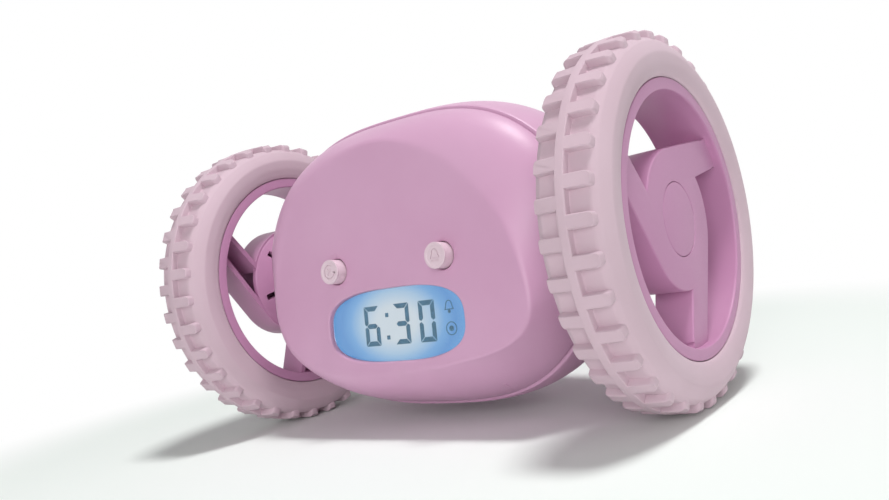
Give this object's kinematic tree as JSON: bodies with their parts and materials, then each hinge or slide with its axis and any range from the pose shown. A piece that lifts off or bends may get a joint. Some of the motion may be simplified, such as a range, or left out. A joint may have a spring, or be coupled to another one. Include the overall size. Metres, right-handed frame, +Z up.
{
  "type": "runaway alarm clock",
  "caption": "Alarm clock with a barrel body, flat display face with two buttons, and a big treaded wheel on each end driven by its own geared motor.",
  "frame": {"origin": "on the floor, midway between the two wheels, under the axles", "axes": "+X along the axles towards the right wheel, -Y towards the front with the display, +Z up"},
  "size_m": [0.1484, 0.089, 0.089],
  "materials": {
    "case_plastic": "satin",
    "rim_plastic": "satin",
    "tyre_rubber": "matte",
    "button_plastic": "satin",
    "clear_window": "gloss",
    "lcd_glass": "gloss",
    "light_guide": "matte",
    "circuit_board": "satin",
    "black_plastic": "matte",
    "gear_plastic": "satin",
    "brass_gear": "satin",
    "spring_steel": "satin",
    "motor_can": "satin",
    "cell_can": "satin"
  },
  "bodies": {
    "clock_body": {"front_shell": "case_plastic", "rear_shell": "case_plastic", "display_window": "clear_window", "lcd_panel": "lcd_glass", "backlight_block": "light_guide", "main_board": "circuit_board", "front_switches": "black_plastic", "beeper": "black_plastic", "rear_board": "circuit_board", "rear_switches": "black_plastic", "slide_switch_case": "black_plastic", "battery_tray": "case_plastic", "battery_cells": "cell_can", "battery_contacts": "spring_steel", "board_screws": "spring_steel", "case_screws": "spring_steel", "right_motor_plate": "gear_plastic", "right_motor": "motor_can", "right_bush": "brass_gear", "left_motor_plate": "gear_plastic", "left_motor": "motor_can", "left_bush": "brass_gear"},
    "right_wheel": {"right_axle": "spring_steel", "right_axle_gear": "gear_plastic", "right_rim": "rim_plastic", "right_tyre": "tyre_rubber", "right_hub_cap": "rim_plastic", "right_wheel_screw": "spring_steel"},
    "right_idler": {"right_idler_gear": "gear_plastic"},
    "right_rotor": {"right_motor_pinion": "brass_gear"},
    "left_wheel": {"left_axle": "spring_steel", "left_axle_gear": "gear_plastic", "left_rim": "rim_plastic", "left_tyre": "tyre_rubber", "left_hub_cap": "rim_plastic", "left_wheel_screw": "spring_steel"},
    "left_idler": {"left_idler_gear": "gear_plastic"},
    "left_rotor": {"left_motor_pinion": "brass_gear"},
    "snooze_button_body": {"snooze_button": "button_plastic"},
    "alarm_button_body": {"alarm_button": "button_plastic"},
    "hour_button_body": {"hour_button": "button_plastic"},
    "minute_button_body": {"minute_button": "button_plastic"},
    "time_button_body": {"time_button": "button_plastic"},
    "alarm_set_button_body": {"alarm_set_button": "button_plastic"},
    "switch_knob": {"slide_switch_knob": "button_plastic"},
    "door": {"battery_door": "case_plastic"}
  },
  "joints": [
    {"name": "right_wheel_spin", "type": "hinge", "parent": "clock_body", "child": "right_wheel", "pos_m": [0, 0, 0.0445], "axis": [1, 0, 0], "continuous": true},
    {"name": "right_idler_spin", "type": "hinge", "parent": "clock_body", "child": "right_idler", "pos_m": [0, 0.00415, 0.03271], "axis": [1, 0, 0], "continuous": true},
    {"name": "right_motor_spin", "type": "hinge", "parent": "clock_body", "child": "right_rotor", "pos_m": [0, -0.00833, 0.03215], "axis": [1, 0, 0], "continuous": true},
    {"name": "left_wheel_spin", "type": "hinge", "parent": "clock_body", "child": "left_wheel", "pos_m": [0, 0, 0.0445], "axis": [1, 0, 0], "continuous": true},
    {"name": "left_idler_spin", "type": "hinge", "parent": "clock_body", "child": "left_idler", "pos_m": [0, 0.00415, 0.03271], "axis": [1, 0, 0], "continuous": true},
    {"name": "left_motor_spin", "type": "hinge", "parent": "clock_body", "child": "left_rotor", "pos_m": [0, -0.00833, 0.03215], "axis": [1, 0, 0], "continuous": true},
    {"name": "snooze_button_press", "type": "slide", "parent": "clock_body", "child": "snooze_button_body", "axis": [0, 0.9919, -0.1271], "range_m": [0, 0.0008], "stiffness_N_per_m": 1000, "springref_m": -0.0005},
    {"name": "alarm_button_press", "type": "slide", "parent": "clock_body", "child": "alarm_button_body", "axis": [0, 0.9919, -0.1271], "range_m": [0, 0.0008], "stiffness_N_per_m": 1000, "springref_m": -0.0005},
    {"name": "hour_button_press", "type": "slide", "parent": "clock_body", "child": "hour_button_body", "axis": [0, -1, 0], "range_m": [0, 0.0008], "stiffness_N_per_m": 1000, "springref_m": -0.0005},
    {"name": "minute_button_press", "type": "slide", "parent": "clock_body", "child": "minute_button_body", "axis": [0, -1, 0], "range_m": [0, 0.0008], "stiffness_N_per_m": 1000, "springref_m": -0.0005},
    {"name": "time_button_press", "type": "slide", "parent": "clock_body", "child": "time_button_body", "axis": [0, -1, 0], "range_m": [0, 0.0008], "stiffness_N_per_m": 1000, "springref_m": -0.0005},
    {"name": "alarm_set_button_press", "type": "slide", "parent": "clock_body", "child": "alarm_set_button_body", "axis": [0, -1, 0], "range_m": [0, 0.0008], "stiffness_N_per_m": 1000, "springref_m": -0.0005},
    {"name": "switch_slide", "type": "slide", "parent": "clock_body", "child": "switch_knob", "axis": [1, 0, 0], "range_m": [0, 0.003]},
    {"name": "door_release", "type": "slide", "parent": "clock_body", "child": "door", "axis": [0, 0.225, -0.9744], "range_m": [0, 0.012]}
  ],
  "couplings": [
    {"joint": "right_idler_spin", "follows": "right_wheel_spin", "ratio": -4},
    {"joint": "right_motor_spin", "follows": "right_wheel_spin", "ratio": 16},
    {"joint": "left_idler_spin", "follows": "left_wheel_spin", "ratio": -4},
    {"joint": "left_motor_spin", "follows": "left_wheel_spin", "ratio": 16}
  ]
}
